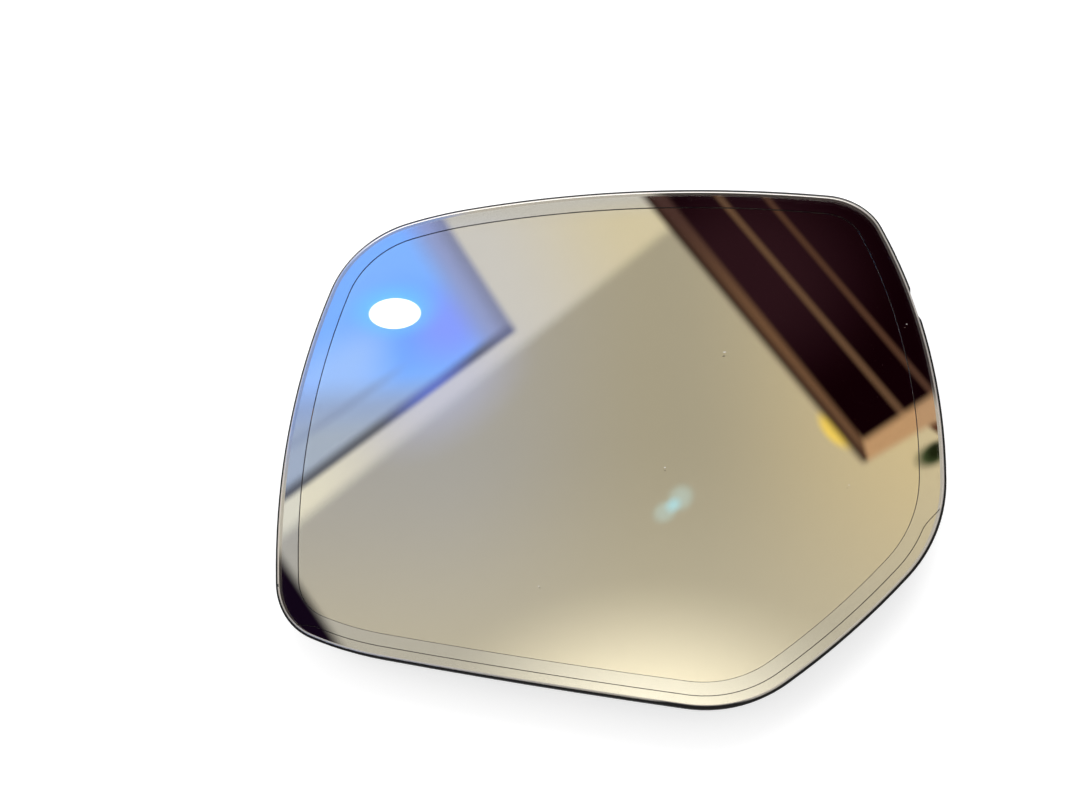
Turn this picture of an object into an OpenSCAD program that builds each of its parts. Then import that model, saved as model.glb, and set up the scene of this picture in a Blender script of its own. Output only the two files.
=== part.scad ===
// Auto-dimming, heated glass of a left-hand car door mirror, in its moulded carrier.
// It lies on its back: the glass faces +Z, the mirror's top is +Y, and Z = 0 is the plane of the claw tips.
// The outline is a closed clockwise chain of tangent arcs: five crowned sides, five corners and two
// easing arcs. Every layer follows the same chain at its own inset from the outside of the rim.

/* [Outline] */
// Distance from the outline's reference point to the right (inboard) side
right_reach = 90.5; // [84:0.5:104]
// Direction in which the right side faces, in degrees from +X
right_dir = -6.5; // [-10:0.5:-2]
// Crown radius of the right side
right_crown = 178; // [140:1:260]
// Distance to the cut-off lower right side
diagonal_reach = 82.9; // [78:0.1:90]
// Direction in which the cut-off side faces
diagonal_dir = -57; // [-61:0.5:-53]
// Crown radius of the cut-off side
diagonal_crown = 225; // [170:1:400]
// Distance to the bottom side
bottom_reach = 72.2; // [66:0.2:84]
// Direction in which the bottom side faces
bottom_dir = -99; // [-103:0.5:-95]
// Crown radius of the nearly straight bottom side
bottom_crown = 2000; // [1000:10:4000]
// Distance to the left (outboard) side
left_reach = 90.8; // [84:0.2:104]
// Direction in which the left side faces
left_dir = 175.5; // [171:0.5:180]
// Crown radius of the left side
left_crown = 215; // [160:1:320]
// Distance to the top side
top_reach = 76.8; // [70:0.1:90]
// Direction in which the top side faces
top_dir = 88.2; // [85:0.1:92]
// Crown radius of the top side
top_crown = 356; // [260:1:500]
// Radius of the corner between the top and right sides
top_right_r = 18; // [12:0.5:26]
// Radius of the corner between the right and cut-off sides
right_low_r = 43; // [30:0.5:60]
// Radius of the corner between the cut-off and bottom sides
bottom_right_r = 35.5; // [24:0.5:48]
// Radius of the corner between the bottom and left sides
bottom_left_r = 19; // [12:0.5:26]
// Radius of the corner between the left and top sides
top_left_r = 33; // [24:0.5:42]
// Radius of the arc that eases the bottom side into its left corner
bottom_ease_r = 99; // [70:1:140]
// How far inside the left side's reach the bottom side starts to ease
bottom_ease_run = 32.6; // [26.6:0.5:40.6]
// Radius of the arc that eases the left corner into the top side
top_ease_r = 127; // [90:1:180]
// How far inside the left side's reach the top side starts to ease
top_ease_run = 51.6; // [44.6:0.5:60.6]

/* [Glass] */
// Thickness of the front glass
front_glass_t = 1.6; // [1.1:0.1:2.4]
// Thickness of the rear glass
rear_glass_t = 1.6; // [1.1:0.1:2.4]
// Depth of the cell between the two glasses
cell_gap = 0.25; // [0.2:0.01:0.4]
// Width of the ground bevel round the front face
bevel_w = 0.45; // [0.2:0.05:0.8]
// Height of that bevel
bevel_h = 0.2; // [0.15:0.05:0.7]
// Arris taken off the front glass's back edge
arris = 0.15; // [0.1:0.05:0.3]
// How far the rear glass's edge lies inside the front glass's edge
rear_step = 1.05; // [0.8:0.05:1.6]

/* [Ring and seal] */
// Width of the mirror ring, from the front glass's edge inwards
ring_w = 5.55; // [4.5:0.05:8]
// Thickness of the ring's coating and its black backing
ring_t = 0.05; // [0.03:0.01:0.08]
// Width of the seal that shows inside the ring as a dark line
seal_show = 0.12; // [0.05:0.01:0.3]
// Width left free for the contact clips between the rear glass's edge and the seal
contact_ledge = 1.1; // [0.9:0.05:1.6]
// Distance of the isolation line from the outside of the rim
line_inset = 3.1; // [2.85:0.05:4.2]
// Width of the isolation line
line_w = 0.2; // [0.1:0.01:0.3]
// Angle from the start of the lower right corner to where the line leaves the right edge
line_start_turn = 5; // [0:1:12]
// Angle that the line takes to bend in from the right edge, about that corner's centre
line_bend_right = 15; // [8:1:24]
// Angle that the line takes to bend out at the lower left, about that corner's centre
line_bend_left = 30; // [16:1:40]
// Width of the fill port in the seal
port_w = 4; // [2.5:0.5:8]

/* [Carrier] */
// Thickness of the rim round the glass
lip_t = 0.55; // [0.4:0.05:1.2]
// How far the rim stays below the front face of the glass
lip_drop = 0.4; // [0.2:0.05:0.8]
// Edge broken on the outside of the rim, front and back
lip_chamfer = 0.15; // [0.1:0.05:0.3]
// Thickness of the carrier's plate
plate_t = 2; // [1.6:0.1:3]
// Depth of the skirt behind the plate
skirt_depth = 3; // [2:0.5:5]
// Thickness of the skirt
skirt_t = 1.5; // [1.2:0.1:2.5]
// How far the skirt's outside leans in over its height, as mould draft
skirt_draft = 0.4; // [0.2:0.05:0.8]
// Thickness of the stiffening ribs
rib_t = 1.2; // [0.8:0.1:2]
// How far the ribs stay short of the socket collar's edge
rib_short = 0.5; // [0.3:0.1:0.8]
// Number of ribs that run out from the socket
rib_count = 12; // [12:12:24]
// Inner radius of the inner ring-shaped rib
inner_hoop_r = 46; // [44:0.5:47]
// Inner radius of the outer ring-shaped rib
outer_hoop_r = 65; // [64.5:0.1:65.5]
// Depth of the ring-shaped ribs
hoop_depth = 3.5; // [3.2:0.1:3.8]
// Distance of the gap in the rim above the middle of the right side, along the edge
gap_along = 38.5; // [30:0.5:44]
// Length of the gap at the outside of the rim
gap_outer_l = 11.3; // [9:0.1:14]
// Length of the gap at the glass
gap_inner_l = 7.1; // [5:0.1:9]

/* [Actuator socket] */
// Radius of the round collar that locates on the actuator
collar_r = 29; // [26:0.5:31]
// Thickness of the collar
collar_t = 2; // [1.6:0.1:2.4]
// Depth of the collar behind the plate
collar_depth = 5; // [4:0.5:6]
// Width of the key slots in the collar
key_w = 5; // [3:0.5:8]
// Number of snap claws round the collar
claw_count = 4; // [4:1:6]
// Radius of the claws' inner faces
claw_r = 34.5; // [34:0.1:36]
// Thickness of a claw
claw_t = 1.8; // [1.4:0.1:2.4]
// Angle that a claw takes up round the collar
claw_sweep = 22; // [16:1:28]
// Depth of the claws behind the plate
claw_depth = 9; // [8:0.5:12]
// Reach of a claw's hook towards the collar
hook_reach = 1.2; // [0.8:0.1:1.4]
// Height of a claw's hook
hook_h = 2; // [1.6:0.1:3]
// Room left round a claw for it to bend
claw_play = 1.5; // [1:0.1:2]

/* [Heater] */
// Thickness of the heater pad
heater_t = 0.4; // [0.3:0.05:0.8]
// Distance of the pad's edge from the outside of the rim
heater_inset = 4.6; // [4.3:0.1:8]
// Thickness of the foam mounting tape
tape_t = 0.8; // [0.6:0.05:1.2]
// Distance of the tape's edge from the outside of the rim
tape_inset = 6.2; // [5.8:0.1:10]
// Distance of the terminal window from the collar's axis, to the left
window_x = 56; // [54:0.5:60]
// Width of the terminal window
window_w = 12; // [11:0.5:13]
// Height of the terminal window
window_h = 24; // [23:0.5:25]
// Height of the raised frame round the window
window_frame_h = 2; // [1:0.5:3]
// Thickness of that frame
window_frame_t = 1.2; // [0.8:0.1:1.6]
// Distance between the two heater terminals
blade_pitch = 12; // [11:0.5:13]
// Width of a heater terminal
blade_w = 6.3; // [4.8:0.1:6.8]
// Thickness of a heater terminal
blade_t = 0.8; // [0.5:0.1:0.8]
// Length of a heater terminal behind its foot
blade_l = 8; // [7:0.5:9]
// Length of a terminal's foot
blade_foot_l = 8; // [7:0.5:9]
// Inner radius of a terminal's bend
blade_bend_r = 0.6; // [0.4:0.1:1]
// Radius of the detent hole in a terminal
detent_r = 0.9; // [0.6:0.1:1]
// Radius of a rivet's shank
rivet_r = 1; // [0.8:0.1:1.2]
// Radius of a rivet's tail
rivet_tail_r = 2; // [1.6:0.1:2.2]
// Height of a rivet's tail
rivet_tail_h = 0.6; // [0.4:0.1:1]
// Radius of a rivet's flat head
rivet_head_r = 1.7; // [1.5:0.1:2]
// Height of a rivet's flat head
rivet_head_h = 0.15; // [0.1:0.05:0.2]

/* [Contact clips] */
// Thickness of the clips' sheet
clip_t = 0.2; // [0.15:0.01:0.25]
// Thickness of the clips' thinned front flange
clip_front_t = 0.1; // [0.08:0.01:0.14]
// Width of the flange behind the rear glass
clip_back_w = 2.4; // [1.8:0.1:2.5]
// Length of the upper clip
upper_clip_l = 96; // [60:1:110]
// Length of the lower clip
lower_clip_l = 64; // [40:1:76]
// Width of a clip's terminal tab
tab_w = 4.8; // [2.8:0.1:6.3]
// Thickness of a clip's terminal tab
tab_t = 0.5; // [0.4:0.1:0.8]
// Length of a clip's terminal tab behind the rear glass
tab_l = 9.5; // [8:0.5:10]
// Room round a tab in the carrier
tab_room = 1.2; // [0.8:0.1:2]

/* [Hidden] */

// Clearance between pieces that are slipped into one another
fit_gap = 0.05;
// Furthest that a chord of the outline may stray from its arc
chord_error = 0.015;
// Overrun of a cut past the face it opens
over = 1;
$fn = 96;

// Heights, from the claw tips up
plate_back = claw_depth;
plate_front = plate_back + plate_t;
heater_back = plate_front + tape_t;
rear_back = heater_back + heater_t;
rear_front = rear_back + rear_glass_t;
front_back = rear_front + cell_gap;
front_face = front_back + front_glass_t;
lip_top = front_face - lip_drop;
skirt_end = plate_back - skirt_depth;
rib_depth = collar_depth - rib_short;

// Insets, from the outside of the rim in
glass_inset = lip_t + fit_gap;
face_inset = glass_inset + bevel_w;
rear_inset = glass_inset + rear_step;
seal_outer = rear_inset + contact_ledge;
ring_inner = glass_inset + ring_w;
seal_inner = ring_inner + seal_show;
tab_inset = rear_inset + clip_back_w - tab_t;

// Outline: an arc is [centre, radius]
function unit(angle) = [cos(angle), sin(angle)];
function side_arc(dir, reach, crown) = [unit(dir) * (reach - crown), crown];

// Arc of radius r that touches the insides of arcs a and b, which follow one another clockwise
function corner_arc(a, b, r) =
    let (
        from_a = a[1] - r,
        from_b = b[1] - r,
        gap = norm(b[0] - a[0]),
        u = (b[0] - a[0]) / gap,
        along = (from_a ^ 2 - from_b ^ 2 + gap ^ 2) / (2 * gap),
        aside = sqrt(from_a ^ 2 - along ^ 2)
    )
    [a[0] + u * along + [u[1], -u[0]] * aside, r];

// Arc of radius r that touches the inside of arc a at the given x, above or below its centre
function easing_arc(a, x, above, r) =
    let (dx = (x - a[0][0]) / a[1], u = [dx, above * sqrt(1 - dx ^ 2)])
    [a[0] + u * (a[1] - r), r];

right_side = side_arc(right_dir, right_reach, right_crown);
diagonal_side = side_arc(diagonal_dir, diagonal_reach, diagonal_crown);
bottom_side = side_arc(bottom_dir, bottom_reach, bottom_crown);
left_side = side_arc(left_dir, left_reach, left_crown);
top_side = side_arc(top_dir, top_reach, top_crown);
bottom_ease = easing_arc(bottom_side, bottom_ease_run - left_reach, -1, bottom_ease_r);
top_ease = easing_arc(top_side, top_ease_run - left_reach, 1, top_ease_r);
raw_chain = [
    right_side,
    corner_arc(right_side, diagonal_side, right_low_r),
    diagonal_side,
    corner_arc(diagonal_side, bottom_side, bottom_right_r),
    bottom_side,
    bottom_ease,
    corner_arc(bottom_ease, left_side, bottom_left_r),
    left_side,
    corner_arc(left_side, top_ease, top_left_r),
    top_ease,
    top_side,
    corner_arc(top_side, right_side, top_right_r)
];
RIGHT_LOW = 1;
BOTTOM_LEFT = 6;

// Angle, seen from either centre, of the point where arcs a and b touch
function touch_angle(a, b) =
    let (d = a[1] > b[1] ? b[0] - a[0] : a[0] - b[0]) atan2(d[1], d[0]);
function wrap(i, n) = (i + n) % n;
function arc_start(chain, i) = touch_angle(chain[wrap(i - 1, len(chain))], chain[i]);
function arc_sweep(chain, i) =
    let (turn = arc_start(chain, i) - touch_angle(chain[i], chain[wrap(i + 1, len(chain))]))
    (turn + 720) % 360;
function arc_steps(chain, i) =
    let (r = chain[i][1]) ceil(arc_sweep(chain, i) * r * PI / 180 / sqrt(8 * r * chord_error));
function arc_point(arc, angle, inset) = arc[0] + unit(angle) * (arc[1] - inset);
function chain_points(chain, inset) = [
    for (i = [0 : len(chain) - 1])
        let (start = arc_start(chain, i), sweep = arc_sweep(chain, i), n = arc_steps(chain, i))
            for (k = [0 : n - 1]) arc_point(chain[i], start - sweep * k / n, inset)
];

// The chain, moved so that the middle of its bounding box is the origin
raw_points = chain_points(raw_chain, 0);
raw_x = [for (p = raw_points) p[0]];
raw_y = [for (p = raw_points) p[1]];
middle = [max(raw_x) + min(raw_x), max(raw_y) + min(raw_y)] / 2;
chain = [for (arc = raw_chain) [arc[0] - middle, arc[1]]];
function outline(inset) = chain_points(chain, inset);

// Smooth step from 0 to 1
function ease(t) = t * t * (3 - 2 * t);

// The isolation line's path: in from the right edge, round the bottom, and out at the lower left
line_steps = 12;
line_far = -line_w;
right_bend_end = arc_start(chain, RIGHT_LOW) - line_start_turn - line_bend_right;
left_corner_start = arc_start(chain, BOTTOM_LEFT);
function line_path(shift) = concat(
    [for (k = [0 : line_steps])
        arc_point(chain[RIGHT_LOW], right_bend_end + line_bend_right * (1 - k / line_steps),
            line_far + (line_inset - line_far) * ease(k / line_steps) + shift)],
    [for (i = [RIGHT_LOW : BOTTOM_LEFT - 1])
        let (
            start = i == RIGHT_LOW ? right_bend_end : arc_start(chain, i),
            skipped = i == RIGHT_LOW ? line_start_turn + line_bend_right : 0,
            sweep = arc_sweep(chain, i) - skipped,
            n = arc_steps(chain, i)
        )
            for (k = [1 : n]) arc_point(chain[i], start - sweep * k / n, line_inset + shift)],
    [for (k = [1 : line_steps])
        arc_point(chain[BOTTOM_LEFT], left_corner_start - line_bend_left * k / line_steps,
            line_inset + (line_far - line_inset) * ease(k / line_steps) + shift)]
);
function reversed(list) = [for (i = [len(list) - 1 : -1 : 0]) list[i]];

// Solid slab of the outline between two heights
module slab(inset, z_low, z_high) {
    translate([0, 0, z_low])
        linear_extrude(z_high - z_low)
            polygon(outline(inset));
}

// Band between two insets
module band(inset_outer, inset_inner, z_low, z_high) {
    translate([0, 0, z_low])
        linear_extrude(z_high - z_low)
            difference() {
                polygon(outline(inset_outer));
                polygon(outline(inset_inner));
            }
}

// Solid skinned over outlines stacked upwards, each level as [inset, height]
module lofted(levels) {
    n = len(outline(0));
    last = len(levels) - 1;
    polyhedron(
        points = [for (level = levels) for (p = outline(level[0])) [p[0], p[1], level[1]]],
        faces = concat(
            [[for (i = [n - 1 : -1 : 0]) i]],
            [for (k = [0 : last - 1]) for (i = [0 : n - 1])
                let (j = wrap(i + 1, n)) [k * n + i, k * n + j, (k + 1) * n + j, (k + 1) * n + i]],
            [[for (i = [0 : n - 1]) last * n + i]]
        )
    );
}

// Places children at the middle of a side, with +X pointing out of it
module on_side(dir, reach) {
    translate([-middle[0], -middle[1], 0])
        rotate([0, 0, dir])
            translate([reach, 0, 0])
                children();
}

// Box whose middle lies at x = y = 0
module centred_box(size_x, size_y, z_low, z_high) {
    translate([-size_x / 2, -size_y / 2, z_low])
        cube([size_x, size_y, z_high - z_low]);
}

module front_glass() {
    color([0.86, 0.9, 0.88, 0.35])
        lofted([
            [glass_inset + arris, front_back],
            [glass_inset, front_back + arris],
            [glass_inset, front_face - bevel_h],
            [face_inset, front_face]
        ]);
}

module mirror_ring() {
    color([0.78, 0.78, 0.75])
        difference() {
            band(glass_inset + arris, ring_inner, front_back - ring_t, front_back);
            translate([0, 0, front_back - ring_t - over])
                linear_extrude(ring_t + 2 * over)
                    polygon(concat(line_path(-line_w / 2), reversed(line_path(line_w / 2))));
        }
}

// Place of the fill port: a bar across the seal at the middle of the left side
module across_port(width) {
    on_side(left_dir, left_reach)
        centred_box(4 * ring_w, width, rear_front - over, front_back + over);
}

module perimeter_seal() {
    color([0.1, 0.1, 0.1])
        difference() {
            band(seal_outer, seal_inner, rear_front, front_back - ring_t);
            across_port(port_w);
        }
}

module fill_port_plug() {
    color([0.5, 0.42, 0.2])
        intersection() {
            band(seal_outer, seal_inner, rear_front, front_back - ring_t);
            across_port(port_w - 2 * fit_gap);
        }
}

module dimming_gel() {
    color([0.85, 0.86, 0.7, 0.3])
        slab(seal_inner, rear_front, front_back);
}

module rear_glass() {
    color([0.76, 0.72, 0.62])
        slab(rear_inset, rear_back, rear_front);
}

// Part of a band that lies along one side, for a given length
module along_side(dir, reach, length) {
    intersection() {
        children();
        on_side(dir, reach)
            centred_box(reach / 2, length, 0, front_face);
    }
}

// Sprung contact strip of C section over the rear glass's edge, with its terminal tab
module bus_clip(dir, reach, length) {
    color([0.72, 0.62, 0.38]) {
        along_side(dir, reach, length)
            union() {
                band(rear_inset - clip_t, rear_inset, rear_back - clip_t, rear_front + clip_front_t);
                band(rear_inset, seal_outer - fit_gap, rear_front, rear_front + clip_front_t);
                band(rear_inset, rear_inset + clip_back_w, rear_back - clip_t, rear_back);
            }
        on_side(dir, reach - tab_inset)
            centred_box(tab_t, tab_w, rear_back - tab_l, rear_back - clip_t / 2);
    }
}
module upper_bus_clip() {
    bus_clip(top_dir, top_reach, upper_clip_l);
}

module lower_bus_clip() {
    bus_clip(bottom_dir, bottom_reach, lower_clip_l);
}

// Places children at both heater terminals
module at_blades() {
    for (side = [-1, 1])
        translate([-window_x, side * blade_pitch / 2, 0])
            children();
}

module heater_pad() {
    color([0.16, 0.16, 0.17])
        difference() {
            slab(heater_inset, heater_back, rear_back);
            at_blades() {
                translate([0, 0, heater_back - over])
                    cylinder(r = rivet_r + fit_gap, h = heater_t + 2 * over);
                translate([0, 0, rear_back - rivet_head_h])
                    cylinder(r = rivet_head_r + fit_gap, h = rivet_head_h + over);
            }
        }
}

// Push-on terminal: a foot on the heater pad, a bend, and a blade that points backwards
module heater_blade(side) {
    bend_out = blade_bend_r + blade_t;
    bend_steps = 6;
    blade_x = blade_foot_l / 2;
    foot_top = heater_back;
    bend_mid = [blade_x - bend_out, foot_top - bend_out];
    tip_z = foot_top - blade_t - blade_l;
    tip_chamfer = blade_t / 2;
    color([0.8, 0.8, 0.78])
        translate([-window_x, side * blade_pitch / 2, 0])
            difference() {
                rotate([90, 0, 0])
                    linear_extrude(blade_w, center = true)
                        polygon(concat(
                            [[-blade_x, foot_top - blade_t], [-blade_x, foot_top]],
                            [for (k = [0 : bend_steps]) bend_mid + unit(90 - 90 * k / bend_steps) * bend_out],
                            [[blade_x, tip_z + tip_chamfer], [blade_x - blade_t / 4, tip_z],
                                [blade_x - blade_t * 3 / 4, tip_z], [blade_x - blade_t, tip_z + tip_chamfer]],
                            [for (k = [bend_steps : -1 : 0])
                                bend_mid + unit(90 - 90 * k / bend_steps) * blade_bend_r]
                        ));
                translate([0, 0, foot_top - blade_t - over])
                    cylinder(r = rivet_r + fit_gap, h = blade_t + 2 * over);
                translate([blade_x - blade_t - over, 0, foot_top - blade_t - blade_l / 2])
                    rotate([0, 90, 0])
                        cylinder(r = detent_r, h = blade_t + 2 * over);
            }
}

module heater_blade_upper() {
    heater_blade(1);
}

module heater_blade_lower() {
    heater_blade(-1);
}

module blade_rivets() {
    color([0.75, 0.75, 0.73])
        at_blades()
            rotate_extrude()
                polygon([
                    [0, heater_back - blade_t - rivet_tail_h],
                    [rivet_tail_r * 0.7, heater_back - blade_t - rivet_tail_h],
                    [rivet_tail_r, heater_back - blade_t - rivet_tail_h / 2],
                    [rivet_tail_r, heater_back - blade_t],
                    [rivet_r, heater_back - blade_t],
                    [rivet_r, rear_back - rivet_head_h],
                    [rivet_head_r, rear_back - rivet_head_h],
                    [rivet_head_r, rear_back],
                    [0, rear_back]
                ]);
}

// Terminal window, grown by a margin
module window_box(margin, z_low, z_high) {
    translate([-window_x, 0, 0])
        centred_box(window_w + 2 * margin, window_h + 2 * margin, z_low, z_high);
}

// Slot for a clip's tab, grown by a margin
module tab_slot(dir, reach, margin, z_low, z_high) {
    on_side(dir, reach - tab_inset)
        centred_box(tab_t + 2 * (tab_room + margin), tab_w + 2 * (tab_room + margin), z_low, z_high);
}

module mounting_tape() {
    color([0.2, 0.2, 0.2])
        difference() {
            slab(tape_inset, plate_front, heater_back);
            window_box(0, plate_front - over, heater_back + over);
        }
}

// Radial rib with its end let down to the skirt's depth
module rib() {
    far = left_reach + right_reach;
    taper_from = claw_r + claw_t + rib_t;
    rotate([90, 0, 0])
        linear_extrude(rib_t, center = true)
            polygon([
                [collar_r + collar_t / 2, plate_back + plate_t / 2],
                [far, plate_back + plate_t / 2],
                [far, plate_back - skirt_depth / 2],
                [right_reach, plate_back - skirt_depth / 2],
                [taper_from, plate_back - rib_depth],
                [collar_r + collar_t / 2, plate_back - rib_depth]
            ]);
}

// Snap claw: a stem with a hook at its tip, leaning away at the lead-in
module claw() {
    rotate([0, 0, -claw_sweep / 2])
        rotate_extrude(angle = claw_sweep)
            polygon([
                [claw_r, plate_back + plate_t / 2],
                [claw_r, hook_h],
                [claw_r - hook_reach, hook_h],
                [claw_r - hook_reach, hook_h * 0.6],
                [claw_r, 0],
                [claw_r + claw_t, 0],
                [claw_r + claw_t, plate_back + plate_t / 2]
            ]);
}

// Relief window through the plate under a claw's hook
module claw_window() {
    rotate([0, 0, -claw_sweep / 2])
        rotate_extrude(angle = claw_sweep)
            translate([claw_r - hook_reach - fit_gap, plate_back - rib_depth - over])
                square([hook_reach + fit_gap, rib_depth + plate_t + 2 * over]);
}

// Gap in the rim, wider outside than at the glass, from the rim's outside to the glass's edge
module rim_gap() {
    on_side(right_dir, right_reach - right_crown)
        rotate([0, 0, gap_along / right_crown * 180 / PI])
            translate([right_crown - glass_inset, 0, skirt_end - over])
                linear_extrude(lip_top - skirt_end + 2 * over)
                    polygon([
                        [0, -gap_inner_l / 2],
                        [0, gap_inner_l / 2],
                        [glass_inset, gap_outer_l / 2],
                        [glass_inset + over, gap_outer_l / 2],
                        [glass_inset + over, -gap_outer_l / 2],
                        [glass_inset, -gap_outer_l / 2]
                    ]);
}

// Places children at each claw
module at_claws() {
    for (k = [0 : claw_count - 1])
        rotate([0, 0, (k + 0.5) * 360 / claw_count])
            children();
}

// Room round a claw in which it can bend, kept clear of ribs
module claw_room() {
    room_sweep = claw_sweep + 2 * asin(claw_play / claw_r);
    rotate([0, 0, -room_sweep / 2])
        rotate_extrude(angle = room_sweep)
            translate([collar_r + collar_t, -over])
                square([claw_r + claw_t + claw_play - collar_r - collar_t, plate_back + over]);
}

// Radial ribs, which end in the skirt and leave the claws free
module radial_ribs() {
    difference() {
        intersection() {
            slab(skirt_t / 2, skirt_end - rib_depth, plate_back + plate_t / 2);
            for (k = [0 : rib_count - 1])
                rotate([0, 0, k * 360 / rib_count])
                    rib();
        }
        at_claws()
            claw_room();
    }
}

// Ring-shaped rib round the collar
module hoop(r) {
    rotate_extrude()
        translate([r, plate_back - hoop_depth])
            square([rib_t, hoop_depth + plate_t / 2]);
}

module carrier() {
    color([0.06, 0.06, 0.065])
        difference() {
            union() {
                difference() {
                    lofted([
                        [skirt_draft + lip_chamfer, skirt_end],
                        [skirt_draft, skirt_end + lip_chamfer],
                        [0, plate_front],
                        [0, lip_top - lip_chamfer],
                        [lip_chamfer, lip_top]
                    ]);
                    slab(lip_t, plate_front, lip_top + over);
                    slab(skirt_t, skirt_end - over, plate_back);
                }
                radial_ribs();
                hoop(inner_hoop_r);
                hoop(outer_hoop_r);
                translate([0, 0, plate_back - collar_depth])
                    cylinder(r = collar_r + collar_t, h = collar_depth + plate_t / 2);
                window_box(window_frame_t, plate_back - window_frame_h, plate_back + plate_t / 2);
                at_claws()
                    claw();
            }
            translate([0, 0, -over])
                cylinder(r = collar_r, h = plate_back + over);
            for (k = [0 : 1])
                rotate([0, 0, 180 * k])
                    translate([collar_r + collar_t / 2, 0, 0])
                        centred_box(3 * collar_t, key_w, plate_back - collar_depth - over, plate_back);
            at_claws()
                claw_window();
            window_box(0, -over, plate_front + over);
            tab_slot(top_dir, top_reach, 0, -over, plate_front + over);
            tab_slot(bottom_dir, bottom_reach, 0, -over, plate_front + over);
            rim_gap();
        }
}

front_glass();
mirror_ring();
perimeter_seal();
fill_port_plug();
dimming_gel();
rear_glass();
upper_bus_clip();
lower_bus_clip();
heater_pad();
heater_blade_upper();
heater_blade_lower();
blade_rivets();
mounting_tape();
carrier();
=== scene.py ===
import math

import bpy
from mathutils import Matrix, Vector


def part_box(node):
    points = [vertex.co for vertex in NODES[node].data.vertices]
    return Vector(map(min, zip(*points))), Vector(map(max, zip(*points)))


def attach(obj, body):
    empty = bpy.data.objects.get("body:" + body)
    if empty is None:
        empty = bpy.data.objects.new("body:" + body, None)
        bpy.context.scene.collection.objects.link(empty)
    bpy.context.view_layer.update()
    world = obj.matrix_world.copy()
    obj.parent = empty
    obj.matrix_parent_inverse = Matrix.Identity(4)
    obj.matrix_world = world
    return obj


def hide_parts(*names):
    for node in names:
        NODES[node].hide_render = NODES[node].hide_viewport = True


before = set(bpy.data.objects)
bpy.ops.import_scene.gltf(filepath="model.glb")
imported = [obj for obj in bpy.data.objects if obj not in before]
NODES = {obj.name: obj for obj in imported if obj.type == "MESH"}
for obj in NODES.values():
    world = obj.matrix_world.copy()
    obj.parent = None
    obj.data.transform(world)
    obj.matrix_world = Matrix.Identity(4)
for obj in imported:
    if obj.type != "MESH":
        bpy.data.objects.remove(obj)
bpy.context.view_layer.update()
MM = 0.001

# Sizes of the layers, in millimetres, as in the source
LIP_T, FIT_GAP, BEVEL_W, BEVEL_H, ARRIS = 0.55, 0.05, 0.45, 0.2, 0.15
REAR_STEP, CONTACT_LEDGE = 1.05, 1.1
RING_W, RING_T, SEAL_SHOW = 5.55, 0.05, 0.12
GLASS_INSET = LIP_T + FIT_GAP
FACE_INSET = GLASS_INSET + BEVEL_W
SEAL_OUTER = GLASS_INSET + REAR_STEP + CONTACT_LEDGE
SEAL_INNER = GLASS_INSET + RING_W + SEAL_SHOW
REAR_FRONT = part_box("rear_glass")[1].z / MM
FRONT_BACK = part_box("front_glass")[0].z / MM
FRONT_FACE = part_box("front_glass")[1].z / MM

# Sizes of the dressed pieces, in millimetres
AIR = 0.012  # so that no two faces share a plane in the render
WETTED = 0.02  # how far the gel reaches into the seal, so that no air lies between them
WALL_INSET = GLASS_INSET + 0.01  # the cover glass's wall, a little inside the source's
WALL_EASE = 0.04  # how far the corner between wall and bevel is eased, each way
FACE_EASE_W, FACE_EASE_H = 0.05, 0.015  # the same between bevel and front face


# Outline of the part, as in the source: an arc is its centre and its radius
def unit(degrees):
    a = math.radians(degrees)
    return Vector((math.cos(a), math.sin(a)))


def side_arc(direction, reach, crown):
    return (unit(direction) * (reach - crown), crown)


def corner_arc(a, b, r):
    """Arc of radius r that touches the insides of arcs a and b, which follow one another clockwise."""
    from_a, from_b = a[1] - r, b[1] - r
    gap = (b[0] - a[0]).length
    u = (b[0] - a[0]) / gap
    along = (from_a ** 2 - from_b ** 2 + gap ** 2) / (2 * gap)
    aside = math.sqrt(from_a ** 2 - along ** 2)
    return (a[0] + u * along + Vector((u.y, -u.x)) * aside, r)


def easing_arc(a, x, above, r):
    """Arc of radius r that touches the inside of arc a at x, above its centre (1) or below it (-1)."""
    dx = (x - a[0].x) / a[1]
    return (a[0] + Vector((dx, above * math.sqrt(1 - dx * dx))) * (a[1] - r), r)


def touch_angle(a, b):
    """Direction, seen from either centre, of the point where arcs a and b touch."""
    d = b[0] - a[0] if a[1] > b[1] else a[0] - b[0]
    return math.degrees(math.atan2(d.y, d.x))


LEFT_REACH = 90.8
BOTTOM_EASE_RUN, TOP_EASE_RUN = 32.6, 51.6  # how far inside the left reach the two sides start to ease
right = side_arc(direction=-6.5, reach=90.5, crown=178)
diagonal = side_arc(direction=-57, reach=82.9, crown=225)
bottom = side_arc(direction=-99, reach=72.2, crown=2000)
left = side_arc(direction=175.5, reach=LEFT_REACH, crown=215)
top = side_arc(direction=88.2, reach=76.8, crown=356)
bottom_ease = easing_arc(bottom, BOTTOM_EASE_RUN - LEFT_REACH, above=-1, r=99)
top_ease = easing_arc(top, TOP_EASE_RUN - LEFT_REACH, above=1, r=127)
CHAIN = [
    right,
    corner_arc(right, diagonal, r=43),
    diagonal,
    corner_arc(diagonal, bottom, r=35.5),
    bottom,
    bottom_ease,
    corner_arc(bottom_ease, left, r=19),
    left,
    corner_arc(left, top_ease, r=33),
    top_ease,
    top,
    corner_arc(top, right, r=18),
]
CORNER_STEP, SIDE_STEP = 0.6, 1.32  # between the outline's points, in millimetres
SIDE_R = 100  # an arc of a larger radius counts as a side
STRAIGHT_R = 400  # a side of a larger radius takes as many points as one of this radius


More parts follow.
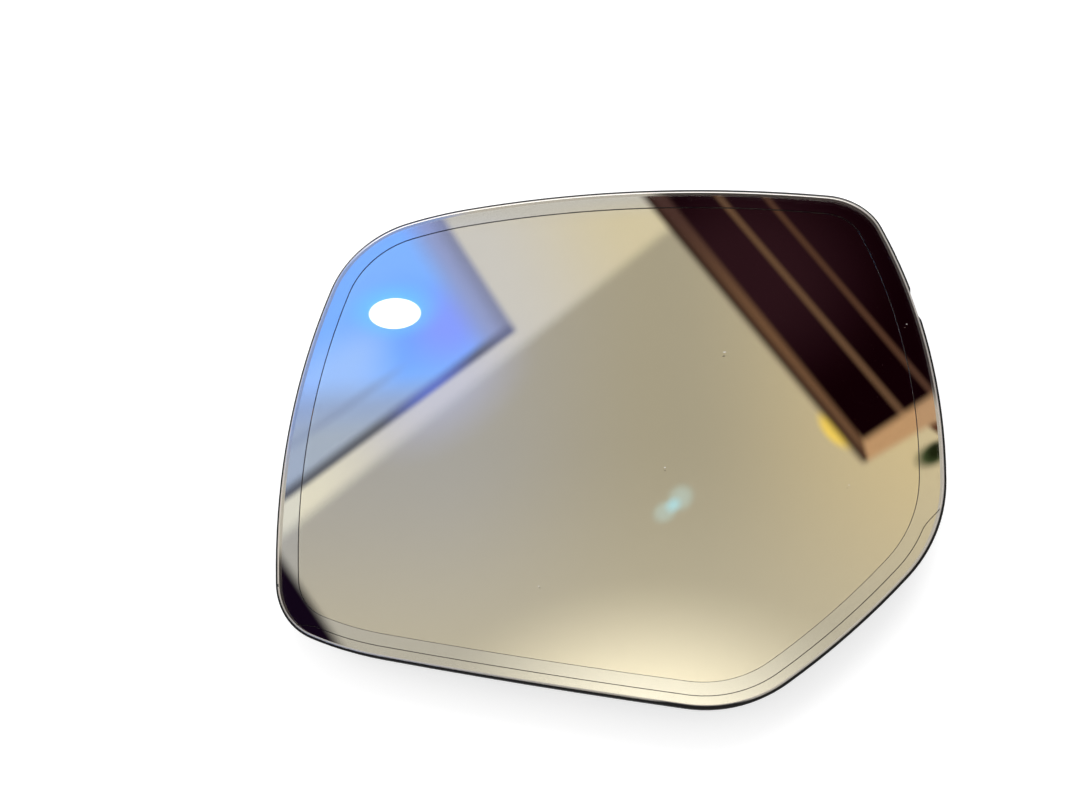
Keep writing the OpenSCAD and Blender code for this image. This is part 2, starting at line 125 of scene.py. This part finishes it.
def outline(inset):
    """Points of the outline at an inset, clockwise from above, in millimetres."""
    points = []
    for i, (centre, r) in enumerate(CHAIN):
        start = touch_angle(CHAIN[i - 1], CHAIN[i])
        sweep = (start - touch_angle(CHAIN[i], CHAIN[(i + 1) % len(CHAIN)])) % 360
        step = SIDE_STEP if r > SIDE_R else CORNER_STEP
        n = max(2, math.ceil(math.radians(sweep) * min(r, STRAIGHT_R) / step))
        points += [centre + unit(start - sweep * k / n) * (r - inset) for k in range(n)]
    return points


OUTER = outline(0)
MIDDLE = Vector(((min(p.x for p in OUTER) + max(p.x for p in OUTER)) / 2,
                 (min(p.y for p in OUTER) + max(p.y for p in OUTER)) / 2))


def stacked(name, levels, hollow=False, wall_slot=0):
    """Mesh through outlines stacked upwards, each given as inset and height. It is closed by two caps, or
    by a last band back to the first outline where it is hollow. wall_slot is the bands' material slot."""
    rings = [[p - MIDDLE for p in outline(inset)] for inset, _ in levels]
    n = len(rings[0])
    verts = [(p.x * MM, p.y * MM, z * MM) for ring, (_, z) in zip(rings, levels) for p in ring]
    bands = len(levels) if hollow else len(levels) - 1
    faces = []
    for k in range(bands):
        above = (k + 1) % len(levels)
        for i in range(n):
            j = (i + 1) % n
            faces.append((k * n + j, k * n + i, above * n + i, above * n + j))
    if not hollow:
        faces.append(tuple(range(n)))
        faces.append(tuple(range(len(verts) - 1, len(verts) - n - 1, -1)))
    mesh = bpy.data.meshes.new(name)
    mesh.from_pydata(verts, [], faces)
    for face in mesh.polygons[:bands * n]:
        face.use_smooth = not hollow
        face.material_index = wall_slot
    mesh.update()
    piece = bpy.data.objects.new(name, mesh)
    bpy.context.scene.collection.objects.link(piece)
    return piece


# Materials
def colour(*rgb):
    return (*rgb, 1.0)


class Nodes:
    """A node tree, with short ways to add nodes."""

    def __init__(self, tree):
        self.tree = tree

    def add(self, kind, **settings):
        node = self.tree.nodes.new(kind)
        for key, value in settings.items():
            setattr(node, key, value)
        return node

    def link(self, a, b):
        self.tree.links.new(a, b)

    def put(self, socket, value):
        if isinstance(value, bpy.types.NodeSocket):
            self.link(value, socket)
        else:
            socket.default_value = value

    def span(self, value, low, high, to_low, to_high, smooth=False):
        """The value, from one range to another."""
        node = self.add("ShaderNodeMapRange")
        node.interpolation_type = "SMOOTHSTEP" if smooth else "LINEAR"
        self.put(node.inputs["Value"], value)
        node.inputs["From Min"].default_value = low
        node.inputs["From Max"].default_value = high
        node.inputs["To Min"].default_value = to_low
        node.inputs["To Max"].default_value = to_high
        return node.outputs["Result"]

    def maths(self, kind, a, b=0.0):
        node = self.add("ShaderNodeMath", operation=kind)
        self.put(node.inputs[0], a)
        self.put(node.inputs[1], b)
        return node.outputs[0]

    def shiny_rays(self):
        """1 for rays from the camera and for rays that a glossy or clear surface sends on."""
        path = self.add("ShaderNodeLightPath")
        shiny = self.maths("MAXIMUM", path.outputs["Is Camera Ray"], path.outputs["Is Glossy Ray"])
        return self.maths("MAXIMUM", shiny, path.outputs["Is Transmission Ray"])


class Look(Nodes):
    """A material, and masks laid out on its piece. A mask is 1 inside, 0 outside and soft between."""

    def __init__(self, name):
        self.mat = bpy.data.materials.new(name)
        self.mat.use_nodes = True
        super().__init__(self.mat.node_tree)
        self.tree.nodes.clear()
        self.out = self.add("ShaderNodeOutputMaterial")

    def place(self):
        return self.add("ShaderNodeTexCoord").outputs["Object"]

    def noise(self, scale, detail=2.0, rough=0.5, stretch=None):
        at = self.place()
        if stretch:
            mapping = self.add("ShaderNodeMapping")
            mapping.inputs["Scale"].default_value = stretch
            self.link(at, mapping.inputs["Vector"])
            at = mapping.outputs["Vector"]
        node = self.add("ShaderNodeTexNoise")
        self.link(at, node.inputs["Vector"])
        node.inputs["Scale"].default_value = scale
        node.inputs["Detail"].default_value = detail
        node.inputs["Roughness"].default_value = rough
        return node.outputs["Fac"]

    def mix(self, factor, a, b):
        node = self.add("ShaderNodeMix", data_type="RGBA")
        self.put(node.inputs[0], factor)
        self.put(node.inputs[6], a)
        self.put(node.inputs[7], b)
        return node.outputs[2]

    def bump(self, height, strength, depth, normal=None):
        """Normal of a relief of this depth in millimetres, on top of another normal where one is given."""
        node = self.add("ShaderNodeBump")
        node.inputs["Strength"].default_value = strength
        node.inputs["Distance"].default_value = depth * MM
        self.link(height, node.inputs["Height"])
        if normal:
            self.link(normal, node.inputs["Normal"])
        return node.outputs["Normal"]

    def surface(self, **values):
        """Principled shader with these values, where a name's underscores stand for spaces."""
        shader = self.add("ShaderNodeBsdfPrincipled")
        for key, value in values.items():
            self.put(shader.inputs[key.replace("_", " ")], value)
        self.link(shader.outputs[0], self.out.inputs[0])

    def hidden_to_lamps(self):
        """Alpha that lets the light of lamps and sky through glass and gel."""
        return self.invert(self.add("ShaderNodeLightPath").outputs["Is Shadow Ray"])

    def axes(self, millimetre):
        """X, Y and Z of the piece, for the masks below. A millimetre is this long on the piece's mesh."""
        split = self.add("ShaderNodeSeparateXYZ")
        self.link(self.place(), split.inputs[0])
        self.x, self.y, self.z = split.outputs
        self.millimetre = millimetre

    def along(self, point, direction):
        """Distance in millimetres from a point along a direction given in degrees."""
        d = unit(direction)
        across = self.maths("MULTIPLY", self.x, d.x / self.millimetre)
        both = self.maths("ADD", across, self.maths("MULTIPLY", self.y, d.y / self.millimetre))
        return self.maths("SUBTRACT", both, d.dot(Vector(point)))

    def aside(self, a, b):
        """Distance to the left of the line from a to b."""
        d = Vector(b) - Vector(a)
        return self.along(a, math.degrees(math.atan2(d.x, -d.y)))

    def fade(self, value, low, high):
        return self.span(value, low, high, 0, 1, smooth=True)

    def left_of(self, a, b, soft):
        return self.fade(self.aside(a, b), -soft / 2, soft / 2)

    def stripe(self, a, b, reach):
        """Stripe along the line from a to b, which fades out at this distance from it."""
        return self.span(self.maths("ABSOLUTE", self.aside(a, b)), 0, reach, 1, 0, smooth=True)

    def oval(self, centre, half, turn=0.0, inner=0.0):
        """Oval of these half lengths, turned by degrees. It is full up to the share inner of them."""
        u = self.maths("DIVIDE", self.along(centre, turn), half[0])
        v = self.maths("DIVIDE", self.along(centre, turn + 90), half[1])
        squares = self.maths("ADD", self.maths("MULTIPLY", u, u), self.maths("MULTIPLY", v, v))
        return self.span(self.maths("SQRT", squares), inner, 1, 1, 0, smooth=True)

    def both(self, *masks):
        result = masks[0]
        for mask in masks[1:]:
            result = self.maths("MULTIPLY", result, mask)
        return result

    def either(self, a, b):
        return self.maths("MAXIMUM", a, b)

    def invert(self, mask):
        return self.maths("SUBTRACT", 1.0, mask)


def moulded_plastic():
    look = Look("carrier_plastic")
    grain = look.noise(5200, detail=2.0, rough=0.6)
    cloud = look.noise(260, detail=3.0, rough=0.6)
    scuff = look.span(look.noise(900, detail=4.0, rough=0.7, stretch=(1, 9, 1)), 0.62, 0.72, 0, 1)
    clouded = look.span(cloud, 0.3, 0.7, 0, 1)
    tone = look.mix(clouded, colour(0.007, 0.007, 0.008), colour(0.012, 0.012, 0.013))
    tone = look.mix(look.maths("MULTIPLY", scuff, 0.25), tone, colour(0.04, 0.04, 0.04))
    look.surface(Base_Color=tone, Roughness=look.span(cloud, 0.2, 0.8, 0.45, 0.6), Specular_IOR_Level=0.2,
                 Normal=look.bump(grain, 0.35, 0.02))
    return look.mat


def reflector(name, tint):
    look = Look(name)
    haze = look.noise(45, detail=4.0, rough=0.6)
    smeared = look.span(haze, 0.35, 0.75, 0.0, 0.012)
    look.surface(Base_Color=colour(*tint), Metallic=1.0, Roughness=smeared)
    return look.mat


# Dust and lint on the front face, in millimetres: x, y, half length, half width
DUST = [
    (37.0, 16.9, 0.55, 0.15),
    (18.3, -16.2, 0.3, 0.12),
    (86.4, 21.6, 0.24, 0.1),
    (-15.9, -46.6, 0.2, 0.1),
    (64.4, -23.4, 0.16, 0.1),
]


def dust_spot(look, at, x, y, long, wide):
    squeeze = look.add("ShaderNodeMapping", vector_type="TEXTURE")
    squeeze.inputs["Location"].default_value = (x * MM, y * MM, FRONT_FACE * MM)
    squeeze.inputs["Scale"].default_value = (long * MM, wide * MM, MM)
    look.link(at, squeeze.inputs["Vector"])
    gap = look.add("ShaderNodeVectorMath", operation="LENGTH")
    look.link(squeeze.outputs["Vector"], gap.inputs[0])
    return look.span(gap.outputs["Value"], 0.5, 1.0, 1, 0)


def clear_glass():
    look = Look("clear_glass")
    at = look.place()
    dust = dust_spot(look, at, *DUST[0])
    for speck in DUST[1:]:
        dust = look.either(dust, dust_spot(look, at, *speck))
    smeared = look.span(look.noise(38, detail=4.0, rough=0.65), 0.4, 0.8, 0.0, 0.008)
    look.surface(Base_Color=look.mix(dust, colour(0.985, 0.99, 0.985), colour(0.9, 0.88, 0.84)),
                 Roughness=look.either(look.maths("MULTIPLY", dust, 0.8), smeared),
                 IOR=1.5, Transmission_Weight=look.invert(dust), Alpha=look.hidden_to_lamps())
    return look.mat


NICKS = [(-87.4, -44.3), (-85.5, 38.0)]  # in the ground edge
DARK_CORNER = ((-67.6, -61.0), (-86.7, -38.0), 4)  # line to its right and how soft it is, for left_of


def edge_outside(look, fine, depth, top_side):
    """Tone of the ground edge from outside, pale at the face and dull at the wall as a painted shade beside
    the rim, and its black places.
    """
    # Painted shade: darker from the face down to the wall beside the rim
    outward = look.span(depth, 0.03, BEVEL_H, 0, 1)
    tone = look.mix(outward, colour(0.96, 0.91, 0.84), colour(0.42, 0.39, 0.38))
    black = look.both(look.oval((23, -75), (14, 9), 4, 0.55), look.span(outward, 0, 0.6, 0.35, 1))
    for nick in NICKS:
        black = look.either(black, look.oval(nick, (1.1, 0.55), 0, 0.5))
    black = look.either(black, top_side)
    tone = look.mix(black, tone, colour(0.006, 0.004, 0.006))
    tone = look.mix(look.span(fine, 0.3, 0.7, 0.2, 0), tone, colour(0.1, 0.09, 0.09))
    return tone, black


def painted_glow_inside(look, depth, up, top_side):
    """Painted glow that stands for the light that the glass carries to its edge, seen from inside. It is a
    painted reflection, dark or blue where the mirror shows something dark or blue next to it. Along the top
    side the lower half of the wall is a painted white highlight."""
    leftwards = look.along((0, 0), 180)
    beside_panel = look.both(look.left_of((18, 78), (96, -6), 6), look.fade(leftwards, -9, -15))
    beside_pane = look.both(look.fade(leftwards, 36, 52), look.fade(up, -20, 6))
    # Painted reflection: dark beside the panel and blue beside the pane, where the mirror shows them
    upper = look.mix(beside_panel, colour(0.52, 0.48, 0.41), colour(0.04, 0.03, 0.03))
    upper = look.mix(beside_pane, upper, colour(0.26, 0.36, 0.66))
    lower = look.mix(beside_panel, upper, colour(0.34, 0.32, 0.28))
    # Painted highlight: white lower half of the wall along the top side
    lower = look.mix(top_side, lower, colour(1.3, 1.25, 1.18))
    # Painted reflection: dark where the mirror shows the dark corner
    upper = look.mix(look.left_of(*DARK_CORNER), upper, colour(0.02, 0.015, 0.02))
    return look.mix(look.span(depth, 1.13, 1.22, 0, 1), upper, lower)


def ground_edge():
    """Ground edge. From outside it is dark along the top side, black round the bottom corner and half
    clear elsewhere. From inside the glass it has a painted glow that stands for the light that the glass
    carries to its edge."""
    look = Look("ground_edge")
    look.axes(MM)
    fine = look.noise(2600, detail=3.0, rough=0.7)
    up = look.along((0, 0), 90)
    depth = look.maths("SUBTRACT", FRONT_FACE, look.maths("DIVIDE", look.z, MM))
    top_side = look.fade(up, 56, 70)
    tone, black = edge_outside(look, fine, depth, top_side)
    # The inside of the edge gets the painted glow as its emission
    inside = look.add("ShaderNodeNewGeometry").outputs["Backfacing"]
    look.surface(Base_Color=look.mix(inside, tone, colour(0.3, 0.28, 0.26)), IOR=1.5,
                 Transmission_Weight=look.both(look.invert(inside), look.invert(black), 0.6),
                 Specular_IOR_Level=0.3, Roughness=look.span(fine, 0.3, 0.7, 0.3, 0.5),
                 Emission_Color=painted_glow_inside(look, depth, up, top_side), Emission_Strength=inside,
                 Normal=look.bump(fine, 0.5, 0.02))
    return look.mat


def gel_look():
    look = Look("gel")
    look.surface(Base_Color=colour(0.995, 0.995, 0.985), IOR=1.01, Transmission_Weight=1.0,
                 Roughness=look.span(look.noise(60), 0.3, 0.7, 0.0, 0.004), Alpha=look.hidden_to_lamps())
    return look.mat


def seal_look():
    look = Look("seal_epoxy")
    fine = look.noise(1800, detail=3.0)
    look.surface(Base_Color=look.mix(fine, colour(0.004, 0.004, 0.005), colour(0.012, 0.011, 0.012)),
                 Roughness=look.span(fine, 0.3, 0.7, 0.35, 0.55), Normal=look.bump(fine, 0.3, 0.02))
    return look.mat


def resin_look():
    look = Look("plug_resin")
    fine = look.noise(1500)
    look.surface(Base_Color=look.mix(fine, colour(0.22, 0.12, 0.03), colour(0.36, 0.22, 0.07)),
                 Roughness=look.span(fine, 0.3, 0.7, 0.2, 0.35), Normal=look.bump(fine, 0.2, 0.03))
    return look.mat


def film_look():
    """Heating film with printed tracks that run across it."""
    look = Look("heater_film")
    wave = look.add("ShaderNodeTexWave", wave_type="BANDS", bands_direction="Y", wave_profile="SIN")
    look.link(look.place(), wave.inputs["Vector"])
    wave.inputs["Scale"].default_value = 110
    track = look.span(wave.outputs["Fac"], 0.55, 0.65, 0, 1)
    fine = look.noise(1200, detail=3.0)
    tone = look.mix(track, colour(0.022, 0.022, 0.025), colour(0.075, 0.072, 0.07))
    look.surface(Base_Color=tone, Roughness=look.span(fine, 0.3, 0.7, 0.3, 0.45),
                 Normal=look.bump(track, 0.4, 0.04, look.bump(fine, 0.2, 0.02)))
    return look.mat


def foam_look():
    look = Look("foam_tape")
    cells = look.add("ShaderNodeTexVoronoi")
    look.link(look.place(), cells.inputs["Vector"])
    cells.inputs["Scale"].default_value = 3200
    depth = cells.outputs["Distance"]
    look.surface(Base_Color=look.mix(depth, colour(0.012, 0.012, 0.012), colour(0.05, 0.05, 0.05)),
                 Roughness=look.span(depth, 0, 0.6, 0.95, 0.8), Normal=look.bump(depth, 0.8, 0.08))
    return look.mat


def stamped_metal(name, dark, pale, stretch):
    """Sheet metal with blotches between two colours, and fine lines from drawing that stretch sets."""
    look = Look(name)
    drawn = look.noise(500, detail=4.0, rough=0.65, stretch=stretch)
    blotch = look.noise(240, detail=3.0, rough=0.6)
    tone = look.mix(look.span(blotch, 0.35, 0.7, 0, 1), colour(*dark), colour(*pale))
    look.surface(Base_Color=tone, Metallic=1.0, Roughness=look.span(drawn, 0.3, 0.7, 0.2, 0.38),
                 Normal=look.bump(drawn, 0.25, 0.02))
    return look.mat


def dress(node, material):
    slots = NODES[node].data.materials
    slots.clear()
    slots.append(material)


REAR_TINT = (0.88, 0.845, 0.765)
RING_TINT = (0.765, 0.762, 0.745)
tinned = stamped_metal("tinned_brass", (0.60, 0.59, 0.55), (0.78, 0.77, 0.73), stretch=(1, 1, 0.08))
bronze = stamped_metal("clip_bronze", (0.55, 0.38, 0.17), (0.74, 0.55, 0.29), stretch=(0.08, 1, 1))
epoxy = seal_look()
dress("carrier", moulded_plastic())
dress("mirror_ring", reflector("ring_mirror", RING_TINT))
dress("rear_glass", reflector("rear_mirror", REAR_TINT))
dress("perimeter_seal", epoxy)
dress("fill_port_plug", resin_look())
dress("upper_bus_clip", bronze)
dress("lower_bus_clip", bronze)
dress("heater_pad", film_look())
dress("heater_blade_upper", tinned)
dress("heater_blade_lower", tinned)
dress("blade_rivets", tinned)
dress("mounting_tape", foam_look())

# Cover glass, with its two faces clear and all its edge ground
z_low, z_high = FRONT_BACK + AIR, FRONT_FACE
cover = stacked("cover_glass", [
    (GLASS_INSET + ARRIS, z_low),
    (WALL_INSET, z_low + ARRIS),
    (WALL_INSET, z_high - BEVEL_H - WALL_EASE),
    (GLASS_INSET + WALL_EASE, z_high - BEVEL_H),
    (FACE_INSET - FACE_EASE_W, z_high - FACE_EASE_H),
    (FACE_INSET, z_high),
], wall_slot=1)
cover.data.materials.append(clear_glass())
cover.data.materials.append(ground_edge())
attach(cover, "root")
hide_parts("front_glass")

# Gel in the cell
gel_edge = SEAL_INNER - WETTED
gel = stacked("cell_gel", [(gel_edge, REAR_FRONT + AIR), (gel_edge, FRONT_BACK - AIR)])
gel.data.materials.append(gel_look())
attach(gel, "root")
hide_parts("dimming_gel")

# Thin film of sealing compound squeezed out behind the ring, seen as the isolation line up to the edge
z_film = FRONT_BACK - RING_T - AIR
film = stacked("seal_film", [
    (GLASS_INSET + ARRIS, z_film - AIR),
    (GLASS_INSET + ARRIS, z_film),
    (SEAL_OUTER, z_film),
    (SEAL_OUTER, z_film - AIR),
], hollow=True)
film.data.materials.append(epoxy)
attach(film, "root")

# Camera at the photograph's place
EYE = Vector((14.93, -83.5, 216.39))  # in millimetres
EYE_TURN = (23.352, 8.644, -0.103)  # about X, Y and Z, in degrees
camera = bpy.data.objects.new("camera", bpy.data.cameras.new("camera"))
bpy.context.scene.collection.objects.link(camera)
camera.location = EYE * MM
camera.rotation_euler = [math.radians(angle) for angle in EYE_TURN]
camera.data.sensor_width = 36
camera.data.lens = 26
camera.data.clip_start = 0.005
camera.data.clip_end = 200
bpy.context.scene.camera = camera

# Studio: the sky is white to the camera and in what shines, and dimmer as light. The floor is matt, and
# lifted for the same rays.
SKY_LEVEL = 0.7
FLOOR_TONE, FLOOR_LIFT = 0.85, 0.47
FLOOR_REACH = 30  # to each side, in metres
world = bpy.data.worlds.new("studio")
world.use_nodes = True
bpy.context.scene.world = world
sky = Nodes(world.node_tree)
background = world.node_tree.nodes["Background"]
background.inputs["Color"].default_value = colour(1, 1, 1)
sky.put(background.inputs["Strength"], sky.span(sky.shiny_rays(), 0, 1, SKY_LEVEL, 1))


def floor_look():
    look = Look("floor")
    matt = look.add("ShaderNodeBsdfDiffuse")
    matt.inputs["Color"].default_value = colour(FLOOR_TONE, FLOOR_TONE, FLOOR_TONE)
    lift = look.add("ShaderNodeEmission")
    look.put(lift.inputs["Strength"], look.maths("MULTIPLY", look.shiny_rays(), FLOOR_LIFT))
    total = look.add("ShaderNodeAddShader")
    look.link(matt.outputs[0], total.inputs[0])
    look.link(lift.outputs[0], total.inputs[1])
    look.link(total.outputs[0], look.out.inputs[0])
    return look.mat


def flat_sheet(name, reach, material, facing_down=False):
    """Square sheet that reaches this far to each side of its origin."""
    mesh = bpy.data.meshes.new(name)
    corners = [(-reach, -reach, 0), (reach, -reach, 0), (reach, reach, 0), (-reach, reach, 0)]
    mesh.from_pydata(corners, [], [(3, 2, 1, 0) if facing_down else (0, 1, 2, 3)])
    mesh.materials.append(material)
    sheet = bpy.data.objects.new(name, mesh)
    bpy.context.scene.collection.objects.link(sheet)
    return sheet


floor = flat_sheet("floor", FLOOR_REACH, floor_look())

CARD_H = 830.0  # height of the card over the mirror, in millimetres
CARD_REACH = 900.0  # to each side, in millimetres of the mirror
PASSED = 0.9  # share of the card's light that the glass lets pass on its way in and out


def linear(level):
    """Light that a screen shows at this level of 255."""
    share = level / 255
    return share / 12.92 if share <= 0.04045 else ((share + 0.055) / 1.055) ** 2.4


def shown(*rgb):
    """Light that the card gives so that the middle of the mirror shows it as this colour."""
    return colour(*(linear(level) / (tint * PASSED) for level, tint in zip(rgb, REAR_TINT)))


class Card(Look):
    """Soft patches on a large card overhead, laid out in millimetres of the mirror that shows them."""

    def __init__(self):
        super().__init__("studio_card")
        self.mat.cycles.emission_sampling = "NONE"
        self.axes(1.0)
        self.rightwards, self.downwards = self.along((0, 0), 0), self.along((0, 0), -90)
        tone = self.ground()
        tone = self.mix(self.left_of((-86.1, -28.6), (22.8, 58.9), 6), tone, self.pale_side())
        tone = self.with_pane(tone)
        tone = self.with_spots(tone)
        tone = self.with_haze(tone)
        tone = self.with_panel(tone)
        tone = self.lay(self.left_of(*DARK_CORNER), tone, 18, 7, 21)
        glow = self.add("ShaderNodeEmission")
        self.link(tone, glow.inputs["Color"])
        self.link(glow.outputs[0], self.out.inputs[0])

    def lay(self, mask, tone, *rgb):
        """The tone, with a patch of the colour that the mirror is to show."""
        return self.mix(mask, tone, shown(*rgb))

    def ground(self):
        """Dull in the middle, warmer to the right and brighter towards the bottom."""
        tone = self.lay(self.fade(self.rightwards, -47, 21), shown(166, 162, 156), 166, 156, 132)
        tone = self.lay(self.fade(self.rightwards, 21, 95), tone, 209, 187, 141)
        tone = self.lay(self.fade(self.downwards, 4, 87), tone, 191, 180, 155)
        return self.lay(self.oval((11, -92), (66, 49)), tone, 292, 277, 240)

    def pale_side(self):
        """Paler ground above and left of a diagonal line."""
        line_end = (16, 62)
        leftwards = self.fade(self.along(line_end, 200), 0, 50)
        tone = self.lay(leftwards, shown(210, 196, 162), 203, 198, 191)
        tone = self.lay(self.fade(self.along(line_end, 218), 95, 130), tone, 224, 217, 196)
        return self.lay(self.fade(self.along((0, 0), 90), 64, 76), tone, 196, 188, 172)

    def with_pane(self, tone):
        """Blue patch, and its tint on the ground next to it."""
        corner, top, low = (-22.8, 28.8), (-46.7, 71.6), (-82.7, -15.9)
        tint = self.maths("MULTIPLY", self.oval((-44, 12), (34, 22), 36, 0.1), 0.36)
        tone = self.lay(tint, tone, 188, 196, 242)
        from_low, from_right = self.aside(low, corner), self.aside(corner, top)
        in_pane = self.both(self.fade(from_low, -1.4, 1.4), self.fade(from_right, -2.0, 1.6))
        return self.mix(in_pane, tone, self.pane(from_low, from_right))

    def pane(self, from_low, from_right):
        """The blue patch: whiter at the left, greyer below and at the right, a slate edge and a glow."""
        tone = self.lay(self.oval((-58, 34), (24, 24), 0, 0.1), shown(130, 180, 258), 112, 166, 262)
        at_left = self.fade(self.rightwards, -54, -74)
        whiter = self.both(self.fade(self.along((-85, 38), -64), 2, 20), at_left)
        tone = self.lay(whiter, tone, 158, 194, 254)
        tone = self.lay(self.oval((-43, 33), (20, 20), 36, 0.1), tone, 136, 158, 255)
        tone = self.lay(self.fade(self.downwards, -19, -6), tone, 152, 170, 205)
        tone = self.lay(self.fade(self.downwards, -9, 3), tone, 165, 175, 191)
        streak = self.stripe((-83, 1), (-52, 23), 3.0)
        streak = self.both(streak, self.fade(self.rightwards, -50, -68), 0.34)
        tone = self.lay(streak, tone, 126, 138, 168)
        tone = self.lay(self.fade(from_right, 16, 5), tone, 146, 156, 200)
        tone = self.lay(self.fade(from_right, 6.5, 0.6), tone, 134, 138, 168)
        slate = self.lay(self.oval((-47, 12), (21, 21)), shown(96, 98, 106), 102, 118, 198)
        slate = self.lay(self.fade(self.rightwards, -38, -26), slate, 110, 114, 146)
        tone = self.mix(self.fade(from_low, 5.2, 1.2), tone, slate)
        tone = self.lay(self.oval((-61.6, 39.6), (18, 12), -9, 0.2), tone, 120, 200, 262)
        return self.lay(self.oval((-60.9, 38.3), (8.8, 5.6), -9, 0.84), tone, 420, 420, 420)

    def with_spots(self, tone):
        """Small yellow, brown and green spots beside the dark patch."""
        tone = self.lay(self.oval((63.2, -8.0), (7.8, 4.0), -60, 0.35), tone, 238, 202, 92)
        tone = self.lay(self.oval((88.6, -8.6), (4.6, 2.6), -50, 0.2), tone, 88, 50, 30)
        tone = self.lay(self.oval((86.0, -16.2), (6.8, 3.9), 32, 0.25), tone, 62, 72, 40)
        return self.lay(self.oval((87.0, -15.2), (4.6, 2.6), 48, 0.25), tone, 30, 34, 14)

    def with_haze(self, tone):
        """Pale blue haze of two lobes with a brighter core."""
        lobes = self.either(self.oval((17.7, -28.1), (5.0, 3.7), 38, 0.2),
                            self.oval((21.8, -24.7), (5.4, 4.3), 50, 0.2))
        tone = self.lay(self.maths("MULTIPLY", lobes, 0.7), tone, 186, 200, 188)
        core = self.maths("MULTIPLY", self.oval((19.8, -26.5), (3.4, 2.6), 41), 0.9)
        return self.lay(core, tone, 178, 218, 222)

    def with_panel(self, tone):
        """Dark patch with a brown side, a tan end and two stripes."""
        side_top, side_tip = (17.4, 73.0), (69.3, -18.4)
        inner_top, inner_tip = (24.8, 72.3), (69.8, -11.4)
        end_left, end_right = (69.8, -17.2), (90.9, -6.0)
        outer = self.both(self.left_of(side_top, side_tip, 3.4), self.left_of(end_left, end_right, 3.0))
        below = self.left_of(inner_tip, (89.5, 0.6), 3.4)
        inner = self.both(self.left_of(inner_top, inner_tip, 2.8), below)
        side = self.lay(self.fade(self.along(inner_top, -61), 0, 60), shown(72, 48, 42), 108, 77, 54)
        side = self.mix(self.fade(self.aside(side_top, side_tip), 0.4, 3.6), shown(50, 32, 26), side)
        side = self.lay(self.left_of(inner_tip, (70.3, -17.6), 2.0), side, 188, 146, 104)
        dark = self.lay(self.oval((46, 42), (44, 46), 0, 0.2), shown(15, 1, 4), 41, 19, 24)
        dark = self.lay(self.stripe((39.9, 71.2), (80.5, -3.7), 2.0), dark, 98, 71, 51)
        dark = self.lay(self.stripe((53.9, 69.2), (88.5, 2.2), 1.8), dark, 80, 53, 39)
        return self.mix(outer, tone, self.mix(inner, side, dark))


# The card hangs where the mirror shows it to EYE, and is larger than its picture in the mirror by grow
grow = (EYE.z - FRONT_FACE + CARD_H) / (EYE.z - FRONT_FACE)
overhead = flat_sheet("studio_card", CARD_REACH, Card().mat, facing_down=True)
overhead.scale = (grow * MM, grow * MM, MM)
overhead.location = (EYE.x * (1 - grow) * MM, EYE.y * (1 - grow) * MM, (FRONT_FACE + CARD_H) * MM)
overhead.visible_camera = overhead.visible_diffuse = overhead.visible_shadow = False


def lamp(name, place, size, power):
    """Round soft lamp that is aimed at the origin and shows in no reflection and through no glass."""
    data = bpy.data.lights.new(name, "AREA")
    data.shape = "DISK"
    data.size = size
    data.energy = power
    obj = bpy.data.objects.new(name, data)
    bpy.context.scene.collection.objects.link(obj)
    obj.location = place
    obj.rotation_euler = (-Vector(place)).to_track_quat("-Z", "Y").to_euler()
    obj.visible_glossy = obj.visible_transmission = False


lamp("key", (0.15, 0.75, 0.85), size=0.7, power=4.0)
lamp("fill", (-0.9, 0.2, 0.8), size=0.9, power=1.6)

view = bpy.context.scene.view_settings
view.view_transform = "Standard"
